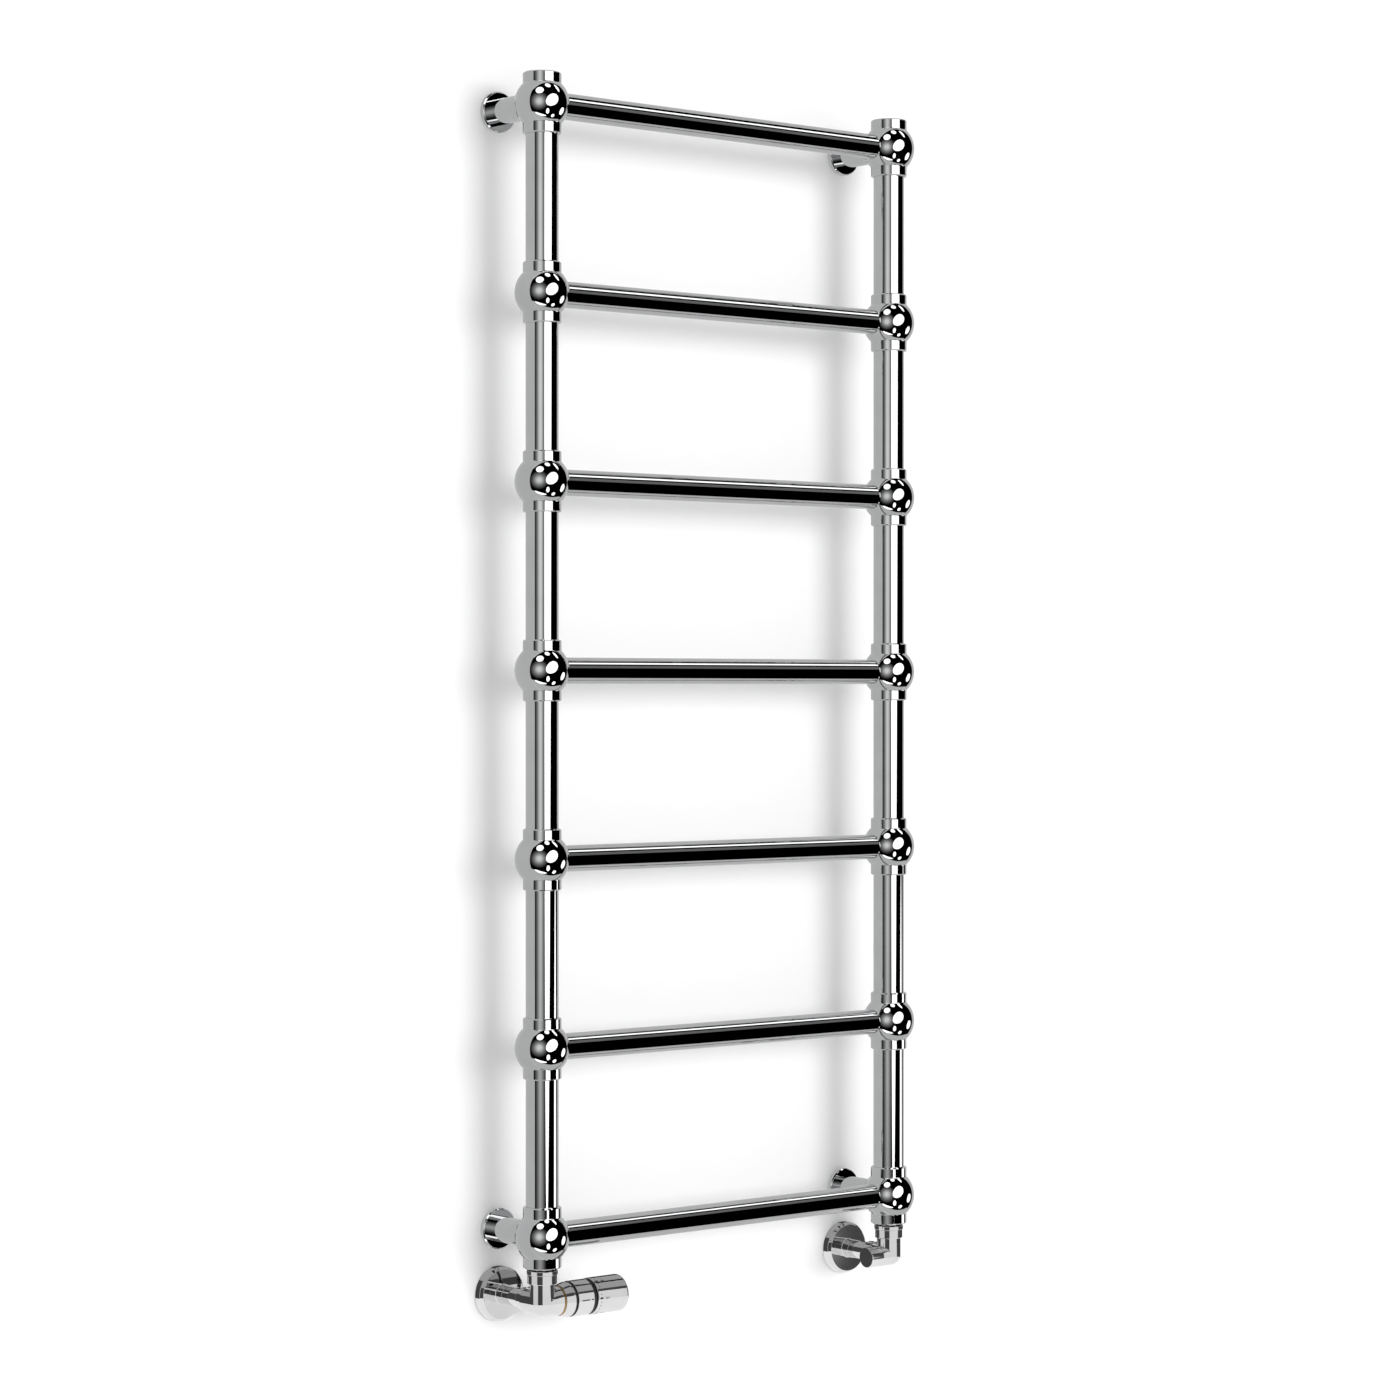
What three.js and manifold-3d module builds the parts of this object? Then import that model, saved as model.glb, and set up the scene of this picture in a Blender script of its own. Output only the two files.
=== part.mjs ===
// Ladder towel radiator with ball joints, a thermostatic corner valve and a lockshield corner valve.
// Millimetres, +Z up, +Y towards the wall. The origin is on the wall plane, midway between the four brackets.

import * as THREE from "three";
import { mergeVertices } from "three/addons/utils/BufferGeometryUtils.js";
import Module from "manifold-3d";

const wasm = await Module();
wasm.setup();

// ---- Driving dimensions ----

const RAIL_COUNT = 7;
const RAIL_PITCH = 200;
const UPRIGHT_SPACING = 500;
const WALL_DISTANCE = 80; // wall plane to the uprights' centre lines
const UPRIGHT_RADIUS = 17.5;
const RAIL_RADIUS = 14;
const TUBE_WALL = 1.5;
const BALL_RADIUS = 29.3;
const COLLAR_RADIUS = 20.5;
const COLLAR_REACH = 32.5; // ball centre to the end of either collar
const VALVE_DROP = 69.5; // bottom ball centre to the valve's centre
const GAP = 0.3; // fitting clearance between pieces that touch
const RUNNING_GAP = 0.6; // clearance round a piece that turns or slides
const OVERSHOOT = 1; // how far a cutter runs past the face it opens

const UPRIGHT_SIDES = 16;
const RAIL_SIDES = 12;
const VALVE_SIDES = 16;
const BALL_STEPS = 6;
const DIAL_EDGE_STEPS = 4;
const CAP_EDGE_STEPS = 2;
const WELD_DISTANCE = 1e-3;

// ---- Sizes that follow from them ----

const HALF_SPACING = UPRIGHT_SPACING / 2;
const HALF_HEIGHT = ((RAIL_COUNT - 1) * RAIL_PITCH) / 2;
const SOCKET_RADIUS = UPRIGHT_RADIUS + GAP;
const TUBE_END = SOCKET_RADIUS + GAP; // where rails and bracket arms stop, from the upright's centre line
const COLLAR_CHAMFER = 1.2;
const SHOULDER_DEPTH = 20; // bottom ball centre to the shoulder that the upright stands on
const PLUG_SEAT = 24; // top ball centre to the upright's top end
const WATERWAY_RADIUS = 11;

const FLANGE = { radius: 22, thickness: 5.5, bevel: 1.2 };
const SPIGOT = { length: 24, screwHole: 3.2 };
const PLUG = { thickness: COLLAR_REACH - PLUG_SEAT - GAP, spigotLength: 9 };
const BLEED = { radius: 4, headRadius: 5.5, headHeight: 3, length: 14 };

const TAIL = { radius: 10.5, bore: 8, collarRadius: 12, collarHeight: 2.5 };
const UNION = { radius: 15.7, bandRadius: 16.5, bottom: 20.3, band: 30.3, top: 35.3, web: 31.1, thread: 13 };
const INLET = { branchEnd: 22, nutRadius: 12.2, nutEnd: 32, pipeBore: 7.9 };
const SLEEVE = { radius: 10.3, hubLength: 22 };
const ROSE = { radius: 29.3, faceRadius: 26.8, sideDepth: 8, faceDepth: 11.5, hubRadius: 10.6 };
const NECK_END = 28; // valve centre to the seat of the tailpiece

// The thermostatic head, by distance from the valve's centre along the head's axis
const HEAD = {
  branchRadius: 13.2,
  flareStart: 9,
  flareRadius: 14.4,
  flareEnd: 15,
  branchEnd: 19,
  insertRadius: 9,
  insertStart: 13,
  insertFlangeRadius: 15.8,
  insertFlangeEnd: 20.6,
  threadRadius: 13,
  threadEnd: 27.5,
  ringRadius: 18.6,
  ringConeRadius: 16.4,
  ringConeEnd: 29.5,
  ringEnd: 32,
  seatRadius: 16.4,
  housingRadius: 17.4,
  sleeveRadius: 19.2,
  sleeveStart: 35,
  sleeveEnd: 56,
  spigotRadius: 15.2,
  spigotEnd: 86,
  dialRadius: 19.8,
  dialStart: 61,
  dialEnd: 103,
  dialRound: 3,
  dialWall: 4,
};
const PIN = { radius: 2, discRadius: 6.5, discStart: 7, discEnd: 10, end: 34 };
const SENSOR = { radius: 12, start: PIN.end + GAP, end: 78 };

// The lockshield side, measured the same way
const SHIELD = {
  neckRadius: 13.6,
  branchRadius: 11.6,
  branchEnd: 18,
  capEnd: 35,
  capWall: 1.8,
  capRound: 0.8,
  bonnetRadius: 8.4,
  bonnetStart: 8,
  noseRadius: 6.4,
  noseEnd: 24,
  spindleRadius: 3,
  spindleStart: 2,
  spindleEnd: 30,
  squareLength: 5,
  plugRadius: 6,
  plugEnd: 6,
};

// ---- Materials ----

const chrome = { color: 0xd6d8da, metalness: 1, roughness: 0.06 };
const brass = { color: 0xb98a4c, metalness: 1, roughness: 0.3 };
const blackPlastic = { color: 0x151515, metalness: 0, roughness: 0.45 };
const steel = { color: 0x9a9c9e, metalness: 1, roughness: 0.3 };

// ---- Shapes ----

/** A body turned about +Z from [radius, height] corners, listed upwards along its outside. */
function turned(outline, sides = VALVE_SIDES) {
  const points = outline.map(([radius, height]) => new THREE.Vector2(radius, height));
  const geometry = new THREE.LatheGeometry(points, sides);
  geometry.rotateX(Math.PI / 2);
  return geometry;
}

/** The same, closed back to its first corner, for a body with a hole along its axis. */
function turnedRing(outline, sides = VALVE_SIDES) {
  return turned([...outline, outline[0]], sides);
}

function rod(radius, from, to, sides = VALVE_SIDES) {
  return turned([[0, from], [radius, from], [radius, to], [0, to]], sides);
}

function tube(inner, outer, from, to, sides = VALVE_SIDES) {
  return turnedRing([[inner, from], [outer, from], [outer, to], [inner, to]], sides);
}

/** Corners of a quarter or part circle of the outline, centred at [radius, height]. */
function arc(centre, radius, startAngle, endAngle, steps) {
  const corners = [];
  for (let step = 0; step <= steps; step += 1) {
    const angle = startAngle + ((endAngle - startAngle) * step) / steps;
    corners.push([centre[0] + radius * Math.cos(angle), centre[1] + radius * Math.sin(angle)]);
  }
  return corners;
}

const FACINGS = {
  up: [0, 0, 0],
  right: [0, Math.PI / 2, 0],
  left: [0, -Math.PI / 2, 0],
  wall: [-Math.PI / 2, 0, 0],
  room: [Math.PI / 2, 0, 0],
};

/** A copy of a shape with its +Z axis turned to face another way. */
function aimed(geometry, facing) {
  const turn = new THREE.Matrix4().makeRotationFromEuler(new THREE.Euler(...FACINGS[facing]));
  return geometry.clone().applyMatrix4(turn);
}

function toSolid(geometry) {
  const bare = geometry.clone();
  bare.deleteAttribute("normal");
  bare.deleteAttribute("uv");
  const merged = mergeVertices(bare, WELD_DISTANCE);
  const corners = merged.index.array;
  const triangles = [];
  for (let i = 0; i < corners.length; i += 3) {
    const [a, b, c] = corners.slice(i, i + 3);
    if (a !== b && b !== c && c !== a) {
      triangles.push(a, b, c);
    }
  }
  const mesh = new wasm.Mesh({
    numProp: 3,
    vertProperties: new Float32Array(merged.attributes.position.array),
    triVerts: new Uint32Array(triangles),
  });
  return new wasm.Manifold(mesh);
}

function toGeometry(solid) {
  const mesh = solid.getMesh();
  const geometry = new THREE.BufferGeometry();
  geometry.setAttribute("position", new THREE.BufferAttribute(mesh.vertProperties, 3));
  geometry.setIndex(new THREE.BufferAttribute(mesh.triVerts, 1));
  geometry.computeVertexNormals();
  return geometry;
}

function joined(geometries) {
  return geometries.map(toSolid).reduce((whole, next) => whole.add(next));
}

function cut(geometry, cutters) {
  const whole = cutters.map(toSolid).reduce((left, cutter) => left.subtract(cutter), toSolid(geometry));
  return toGeometry(whole);
}

// ---- Assembly helpers ----

const group = new THREE.Group();

/** Adds one named piece to a group, at a place and facing a way. */
function addPiece(parent, name, geometry, look, place = [0, 0, 0], facing = "up") {
  const mesh = new THREE.Mesh(geometry, new THREE.MeshStandardMaterial(look));
  mesh.name = name;
  mesh.position.set(...place);
  mesh.rotation.set(...FACINGS[facing]);
  parent.add(mesh);
}

const SIDES = [
  { name: "left", x: -HALF_SPACING, inward: "right" },
  { name: "right", x: HALF_SPACING, inward: "left" },
];

const ROWS = Array.from({ length: RAIL_COUNT }, (_, index) => ({
  number: index + 1,
  z: HALF_HEIGHT - index * RAIL_PITCH,
  isTop: index === 0,
  isBottom: index === RAIL_COUNT - 1,
}));

const BRACKET_ROWS = ROWS.filter((row) => row.isTop || row.isBottom);

// ---- Frame: uprights, ball joints and rails ----

function upright(inward) {
  const bottom = -HALF_HEIGHT - SHOULDER_DEPTH + GAP;
  const top = HALF_HEIGHT + PLUG_SEAT;
  const wall = tube(UPRIGHT_RADIUS - TUBE_WALL, UPRIGHT_RADIUS, bottom, top, UPRIGHT_SIDES);
  const waterways = ROWS.map((row) => {
    const hole = aimed(rod(WATERWAY_RADIUS, 0, UPRIGHT_RADIUS + OVERSHOOT, RAIL_SIDES), inward);
    return hole.translate(0, 0, row.z);
  });
  return cut(wall, waterways);
}

function ballOutline(row) {
  const junction = Math.acos(COLLAR_RADIUS / BALL_RADIUS);
  const bottomBore = row.isBottom ? TAIL.radius + GAP : SOCKET_RADIUS;
  const outline = [
    [bottomBore, -COLLAR_REACH],
    [COLLAR_RADIUS - COLLAR_CHAMFER, -COLLAR_REACH],
    [COLLAR_RADIUS, COLLAR_CHAMFER - COLLAR_REACH],
    ...arc([0, 0], BALL_RADIUS, -junction, junction, BALL_STEPS),
    [COLLAR_RADIUS, COLLAR_REACH - COLLAR_CHAMFER],
    [COLLAR_RADIUS - COLLAR_CHAMFER, COLLAR_REACH],
    [SOCKET_RADIUS, COLLAR_REACH],
  ];
  if (row.isBottom) {
    outline.push([SOCKET_RADIUS, -SHOULDER_DEPTH], [bottomBore, -SHOULDER_DEPTH]);
  }
  return outline;
}

function ballJoint(row, inward) {
  const socket = rod(RAIL_RADIUS + GAP, 0, BALL_RADIUS + OVERSHOOT, RAIL_SIDES);
  const sockets = [aimed(socket, inward)];
  if (BRACKET_ROWS.includes(row)) {
    sockets.push(aimed(socket, "wall"));
  }
  return cut(turnedRing(ballOutline(row), UPRIGHT_SIDES), sockets);
}

function addFrame() {
  const railHalf = HALF_SPACING - TUBE_END;
  for (const side of SIDES) {
    addPiece(group, `upright_${side.name}`, upright(side.inward), chrome, [side.x, -WALL_DISTANCE, 0]);
    for (const row of ROWS) {
      const place = [side.x, -WALL_DISTANCE, row.z];
      addPiece(group, `ball_joint_${side.name}_${row.number}`, ballJoint(row, side.inward), chrome, place);
    }
  }
  for (const row of ROWS) {
    const rail = tube(RAIL_RADIUS - TUBE_WALL, RAIL_RADIUS, -railHalf, railHalf, RAIL_SIDES);
    addPiece(group, `rail_${row.number}`, rail, chrome, [0, -WALL_DISTANCE, row.z], "right");
  }
}

// ---- Wall brackets, each a wall spigot, an arm that slips over it and a flange ----

function flangeOutline() {
  return [
    [RAIL_RADIUS + GAP, 0],
    [FLANGE.radius, 0],
    [FLANGE.radius, FLANGE.thickness - FLANGE.bevel],
    [FLANGE.radius - FLANGE.bevel, FLANGE.thickness],
    [RAIL_RADIUS + GAP, FLANGE.thickness],
  ];
}

function addBrackets() {
  const armLength = WALL_DISTANCE - TUBE_END;
  const armBore = RAIL_RADIUS - TUBE_WALL;
  for (const side of SIDES) {
    for (const row of BRACKET_ROWS) {
      const place = [side.x, 0, row.z];
      const suffix = `${row.isTop ? "top" : "bottom"}_${side.name}`;
      const arm = tube(armBore, RAIL_RADIUS, GAP, armLength, RAIL_SIDES);
      const spigot = tube(SPIGOT.screwHole, armBore - GAP, 0, SPIGOT.length, RAIL_SIDES);
      addPiece(group, `bracket_arm_${suffix}`, arm, chrome, place, "room");
      addPiece(group, `wall_flange_${suffix}`, turnedRing(flangeOutline(), RAIL_SIDES), chrome, place, "room");
      addPiece(group, `wall_spigot_${suffix}`, spigot, steel, place, "room");
    }
  }
}

// ---- Top plugs, the left one with the air-bleed screw ----

function addTopPlugs() {
  const spigotRadius = UPRIGHT_RADIUS - TUBE_WALL - GAP;
  const headSeat = PLUG.thickness - BLEED.headHeight;
  const below = -PLUG.spigotLength;
  const plain = turned([
    [0, below],
    [spigotRadius, below],
    [spigotRadius, 0],
    [UPRIGHT_RADIUS, 0],
    [UPRIGHT_RADIUS, PLUG.thickness],
    [0, PLUG.thickness],
  ]);
  const bored = turnedRing([
    [BLEED.radius + RUNNING_GAP, below],
    [spigotRadius, below],
    [spigotRadius, 0],
    [UPRIGHT_RADIUS, 0],
    [UPRIGHT_RADIUS, PLUG.thickness],
    [BLEED.headRadius + RUNNING_GAP, PLUG.thickness],
    [BLEED.headRadius + RUNNING_GAP, headSeat],
    [BLEED.radius + RUNNING_GAP, headSeat],
  ]);
  const screw = turned([
    [0, PLUG.thickness - BLEED.length],
    [BLEED.radius, PLUG.thickness - BLEED.length],
    [BLEED.radius, headSeat + GAP],
    [BLEED.headRadius, headSeat + GAP],
    [BLEED.headRadius, PLUG.thickness],
    [0, PLUG.thickness],
  ]);
  const keySize = BLEED.headRadius;
  const keyHole = new THREE.BoxGeometry(keySize, keySize, BLEED.headHeight);
  keyHole.translate(0, 0, PLUG.thickness);
  const seatHeight = HALF_HEIGHT + PLUG_SEAT + GAP;
  const leftPlace = [-HALF_SPACING, -WALL_DISTANCE, seatHeight];
  addPiece(group, "top_plug_left", bored, chrome, leftPlace);
  addPiece(group, "bleed_screw", cut(screw, [keyHole]), chrome, leftPlace);
  addPiece(group, "top_plug_right", plain, chrome, [HALF_SPACING, -WALL_DISTANCE, seatHeight]);
}

// ---- What the two corner valves share ----

/**
 * The corner body: branches up to the radiator and back to the wall, and the head's own branch,
 * with a rounded underside where they meet.
 */
function valveBody(neckRadius, headBranch, headBore, headFacing) {
  const sideRadius = headBranch[1][0];
  const headEnd = headBranch[headBranch.length - 1][1];
  const underside = new THREE.SphereGeometry(neckRadius, VALVE_SIDES, VALVE_SIDES / 2);
  underside.rotateX(Math.PI / 2);
  underside.scale(1, 1, sideRadius / neckRadius);
  const branches = [
    rod(neckRadius, 0, NECK_END),
    aimed(rod(sideRadius, 0, INLET.branchEnd), "wall"),
    aimed(turned(headBranch), headFacing),
    underside,
  ];
  const thread = tube(UNION.thread, neckRadius + OVERSHOOT, UNION.bottom - GAP, NECK_END + OVERSHOOT);
  const bores = [
    rod(TAIL.bore, 0, NECK_END + OVERSHOOT),
    aimed(rod(INLET.pipeBore, 0, INLET.branchEnd + OVERSHOOT), "wall"),
    aimed(rod(headBore, 0, headEnd + OVERSHOOT), headFacing),
    aimed(new THREE.SphereGeometry(TAIL.bore, VALVE_SIDES, VALVE_SIDES / 2), "wall"),
  ];
  const outside = joined(branches).subtract(toSolid(thread));
  return toGeometry(outside.subtract(joined(bores)));
}

function tailpiece() {
  const seat = NECK_END + GAP;
  const shoulder = seat + TAIL.collarHeight;
  const top = VALVE_DROP - SHOULDER_DEPTH - GAP;
  return turnedRing([
    [TAIL.bore, seat],
    [TAIL.collarRadius, seat],
    [TAIL.collarRadius, shoulder],
    [TAIL.radius, shoulder],
    [TAIL.radius, top],
    [TAIL.bore, top],
  ]);
}

function unionNut() {
  return turnedRing([
    [UNION.thread + GAP, UNION.bottom],
    [UNION.radius, UNION.bottom],
    [UNION.radius, UNION.band],
    [UNION.bandRadius, UNION.band],
    [UNION.bandRadius, UNION.top],
    [TAIL.radius + GAP, UNION.top],
    [TAIL.radius + GAP, UNION.web],
    [UNION.thread + GAP, UNION.web],
  ]);
}

function rose() {
  return turnedRing([
    [INLET.pipeBore, 0],
    [ROSE.radius, 0],
    [ROSE.radius, ROSE.sideDepth],
    [ROSE.faceRadius, ROSE.faceDepth],
    [ROSE.hubRadius, ROSE.faceDepth],
    [ROSE.hubRadius, SLEEVE.hubLength],
    [INLET.pipeBore, SLEEVE.hubLength],
  ]);
}

/** Adds the body, union, inlet and wall cover of one valve. */
function addValveBase(prefix, side, body) {
  const valve = new THREE.Group();
  valve.position.set(side.x, -WALL_DISTANCE, -HALF_HEIGHT - VALVE_DROP);
  group.add(valve);
  const nutStart = INLET.branchEnd + GAP;
  const sleeveStart = INLET.nutEnd + GAP;
  const sleeveEnd = WALL_DISTANCE - SLEEVE.hubLength - GAP;
  addPiece(valve, `${prefix}_body`, body, chrome);
  addPiece(valve, `${prefix}_tailpiece`, tailpiece(), chrome);
  addPiece(valve, `${prefix}_union_nut`, unionNut(), chrome);
  const nut = tube(INLET.pipeBore, INLET.nutRadius, nutStart, INLET.nutEnd);
  addPiece(valve, `${prefix}_inlet_nut`, nut, chrome, [0, 0, 0], "wall");
  const sleeve = tube(INLET.pipeBore, SLEEVE.radius, sleeveStart, sleeveEnd);
  addPiece(valve, `${prefix}_pipe_sleeve`, sleeve, chrome, [0, 0, 0], "wall");
  addPiece(valve, `${prefix}_wall_rose`, rose(), chrome, [0, WALL_DISTANCE, 0], "room");
  return valve;
}

// ---- Thermostatic valve head ----

function insert() {
  return turnedRing([
    [PIN.radius + RUNNING_GAP, HEAD.insertStart],
    [HEAD.insertRadius - GAP, HEAD.insertStart],
    [HEAD.insertRadius - GAP, HEAD.branchEnd + GAP],
    [HEAD.insertFlangeRadius, HEAD.branchEnd + GAP],
    [HEAD.insertFlangeRadius, HEAD.insertFlangeEnd],
    [HEAD.threadRadius, HEAD.insertFlangeEnd],
    [HEAD.threadRadius, HEAD.threadEnd],
    [PIN.radius + RUNNING_GAP, HEAD.threadEnd],
  ]);
}

function valvePin() {
  return turned([
    [0, PIN.discStart],
    [PIN.discRadius, PIN.discStart],
    [PIN.discRadius, PIN.discEnd],
    [PIN.radius, PIN.discEnd],
    [PIN.radius, PIN.end],
    [0, PIN.end],
  ]);
}

function lockingRing() {
  const flangeStart = HEAD.threadEnd + GAP;
  return turnedRing([
    [HEAD.threadRadius + GAP, HEAD.insertFlangeEnd + GAP],
    [HEAD.ringConeRadius, HEAD.insertFlangeEnd + GAP],
    [HEAD.ringRadius, HEAD.ringConeEnd],
    [HEAD.ringRadius, HEAD.ringEnd],
    [HEAD.seatRadius, HEAD.ringEnd],
    [HEAD.seatRadius, flangeStart],
    [HEAD.threadRadius + GAP, flangeStart],
  ]);
}

/** The black carrier of the head: a flange in the locking ring, a drum, and the dial's bearing spigot. */
function housing() {
  const bore = SENSOR.radius + RUNNING_GAP;
  const flangeStart = HEAD.threadEnd + 2 * GAP;
  return turnedRing([
    [bore, flangeStart],
    [HEAD.seatRadius - GAP, flangeStart],
    [HEAD.seatRadius - GAP, HEAD.ringEnd + GAP],
    [HEAD.housingRadius, HEAD.ringEnd + GAP],
    [HEAD.housingRadius, HEAD.dialStart - GAP],
    [HEAD.spigotRadius, HEAD.dialStart - GAP],
    [HEAD.spigotRadius, HEAD.spigotEnd],
    [bore, HEAD.spigotEnd],
  ]);
}

function dial() {
  const cavityRadius = HEAD.spigotRadius + RUNNING_GAP;
  const edge = [HEAD.dialRadius - HEAD.dialRound, HEAD.dialEnd - HEAD.dialRound];
  return turned([
    [0, HEAD.dialEnd - HEAD.dialWall],
    [cavityRadius, HEAD.dialEnd - HEAD.dialWall],
    [cavityRadius, HEAD.dialStart],
    [HEAD.dialRadius, HEAD.dialStart],
    ...arc(edge, HEAD.dialRound, 0, Math.PI / 2, DIAL_EDGE_STEPS),
    [0, HEAD.dialEnd],
  ]);
}

function addThermostaticValve(side) {
  const headBranch = [
    [0, 0],
    [HEAD.branchRadius, 0],
    [HEAD.branchRadius, HEAD.flareStart],
    [HEAD.flareRadius, HEAD.flareEnd],
    [HEAD.flareRadius, HEAD.branchEnd],
    [0, HEAD.branchEnd],
  ];
  const body = valveBody(HEAD.branchRadius, headBranch, HEAD.insertRadius, side.inward);
  const valve = addValveBase("trv", side, body);
  const sleeve = tube(HEAD.housingRadius + GAP, HEAD.sleeveRadius, HEAD.sleeveStart, HEAD.sleeveEnd);
  const centre = [0, 0, 0];
  addPiece(valve, "trv_insert", insert(), brass, centre, side.inward);
  addPiece(valve, "trv_valve_pin", valvePin(), steel, centre, side.inward);
  addPiece(valve, "trv_locking_ring", lockingRing(), chrome, centre, side.inward);
  addPiece(valve, "trv_head_housing", housing(), blackPlastic, centre, side.inward);
  addPiece(valve, "trv_pointer_sleeve", sleeve, chrome, centre, side.inward);
  addPiece(valve, "trv_sensor", rod(SENSOR.radius, SENSOR.start, SENSOR.end), steel, centre, side.inward);
  addPiece(valve, "trv_dial", dial(), chrome, centre, side.inward);
}

// ---- Lockshield head: bonnet, regulating spindle and cap ----

function bonnet() {
  const bore = SHIELD.spindleRadius + RUNNING_GAP;
  return turnedRing([
    [bore, SHIELD.bonnetStart],
    [SHIELD.bonnetRadius, SHIELD.bonnetStart],
    [SHIELD.bonnetRadius, SHIELD.branchEnd],
    [SHIELD.noseRadius, SHIELD.branchEnd],
    [SHIELD.noseRadius, SHIELD.noseEnd],
    [bore, SHIELD.noseEnd],
  ]);
}

/** The spindle with its plug, and a square end for the key. */
function spindle() {
  const turnedPart = turned([
    [0, SHIELD.spindleStart],
    [SHIELD.plugRadius, SHIELD.spindleStart],
    [SHIELD.plugRadius, SHIELD.plugEnd],
    [SHIELD.spindleRadius, SHIELD.plugEnd],
    [SHIELD.spindleRadius, SHIELD.spindleEnd],
    [0, SHIELD.spindleEnd],
  ]);
  const cutterWidth = 2 * SHIELD.plugRadius;
  const cutterLength = SHIELD.squareLength + OVERSHOOT;
  const flat = new THREE.BoxGeometry(cutterWidth, cutterWidth, cutterLength);
  const squareAcross = SHIELD.spindleRadius * Math.SQRT2;
  const offset = (squareAcross + cutterWidth) / 2;
  const height = SHIELD.spindleEnd - SHIELD.squareLength + cutterLength / 2;
  const flats = [[offset, 0], [-offset, 0], [0, offset], [0, -offset]];
  return cut(turnedPart, flats.map(([x, y]) => flat.clone().translate(x, y, height)));
}

function shieldCap() {
  const start = SHIELD.branchEnd + GAP;
  const inside = SHIELD.branchRadius - SHIELD.capWall;
  const edge = [SHIELD.branchRadius - SHIELD.capRound, SHIELD.capEnd - SHIELD.capRound];
  return turned([
    [0, SHIELD.capEnd - SHIELD.capWall],
    [inside, SHIELD.capEnd - SHIELD.capWall],
    [inside, start],
    [SHIELD.branchRadius, start],
    ...arc(edge, SHIELD.capRound, 0, Math.PI / 2, CAP_EDGE_STEPS),
    [0, SHIELD.capEnd],
  ]);
}

function addLockshieldValve(side) {
  const headBranch = [
    [0, 0],
    [SHIELD.branchRadius, 0],
    [SHIELD.branchRadius, SHIELD.branchEnd],
    [0, SHIELD.branchEnd],
  ];
  const body = valveBody(SHIELD.neckRadius, headBranch, SHIELD.bonnetRadius + GAP, side.inward);
  const valve = addValveBase("lockshield", side, body);
  const centre = [0, 0, 0];
  addPiece(valve, "lockshield_bonnet", bonnet(), brass, centre, side.inward);
  addPiece(valve, "lockshield_spindle", spindle(), brass, centre, side.inward);
  addPiece(valve, "lockshield_cap", shieldCap(), chrome, centre, side.inward);
}

addFrame();
addBrackets();
addTopPlugs();
addThermostaticValve(SIDES[0]);
addLockshieldValve(SIDES[1]);

export default group;
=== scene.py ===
"""Looks for a chromed ladder towel radiator with ball joints and two corner valves.

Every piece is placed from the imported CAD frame. Metres, +Z up, +Y towards the wall.
"""

import math

import bmesh
import bpy
from mathutils import Matrix, Vector


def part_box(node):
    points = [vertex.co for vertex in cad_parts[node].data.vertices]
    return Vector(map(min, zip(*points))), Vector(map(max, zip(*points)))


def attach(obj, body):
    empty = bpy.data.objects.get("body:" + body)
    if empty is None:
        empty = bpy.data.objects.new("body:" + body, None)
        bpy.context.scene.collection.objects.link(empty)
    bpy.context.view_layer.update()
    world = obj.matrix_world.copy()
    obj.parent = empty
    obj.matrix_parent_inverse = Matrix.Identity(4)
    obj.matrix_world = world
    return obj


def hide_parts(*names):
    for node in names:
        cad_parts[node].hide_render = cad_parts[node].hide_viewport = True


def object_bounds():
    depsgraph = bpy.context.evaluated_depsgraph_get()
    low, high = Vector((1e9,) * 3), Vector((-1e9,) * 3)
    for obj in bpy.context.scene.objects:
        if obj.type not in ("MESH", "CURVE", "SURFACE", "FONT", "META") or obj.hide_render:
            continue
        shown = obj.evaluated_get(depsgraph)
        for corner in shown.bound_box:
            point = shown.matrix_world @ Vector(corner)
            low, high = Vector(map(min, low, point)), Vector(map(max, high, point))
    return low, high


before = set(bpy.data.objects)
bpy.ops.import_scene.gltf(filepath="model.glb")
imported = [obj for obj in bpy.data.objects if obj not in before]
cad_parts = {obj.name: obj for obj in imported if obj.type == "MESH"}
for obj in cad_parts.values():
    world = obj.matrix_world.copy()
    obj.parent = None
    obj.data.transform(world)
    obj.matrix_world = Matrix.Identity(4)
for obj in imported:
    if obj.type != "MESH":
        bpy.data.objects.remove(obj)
cad_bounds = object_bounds()

MM = 0.001
SIDES = ("left", "right")
BALL_ROWS = range(1, 8)
FINE_SIDES = 96
SHARP_ANGLE = math.radians(32)

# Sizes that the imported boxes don't give
GAP = 0.3 * MM
RUNNING_GAP = 0.6 * MM
TUBE_WALL = 1.5 * MM
EDGE = 0.35 * MM
PLUG_HEAD = 8.2 * MM
PLUG_ROUNDING = 0.5 * MM
SCREW_SOCKET = 2.6 * MM
SOCKET_DEPTH = 2 * MM
TAIL_RADIUS = 10.5 * MM
TAIL_SHOULDER = 2.5 * MM
NUT_BORE = 13.3 * MM
NUT_WEB = 4 * MM
NUT_EDGE = 0.5 * MM
BAND_GROOVE = 0.6 * MM
ROSE_SIDE = 8 * MM
ROSE_FACE = 11.5 * MM
ROSE_BEVEL = 2.5 * MM
ROSE_HUB = 10.6 * MM

AXES = {
    "up": Vector((0, 0, 1)),
    "wall": Vector((0, 1, 0)),
    "room": Vector((0, -1, 0)),
    "right": Vector((1, 0, 0)),
    "left": Vector((-1, 0, 0)),
}


# ---- Materials ----


def shader(name, metallic, roughness=0.3):
    """A new Principled material: (material, nodes, links, the shader node)."""
    material = bpy.data.materials.new(name)
    material.use_nodes = True
    nodes, links = material.node_tree.nodes, material.node_tree.links
    principled = nodes["Principled BSDF"]
    principled.inputs["Metallic"].default_value = metallic
    principled.inputs["Roughness"].default_value = roughness
    return material, nodes, links, principled


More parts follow.
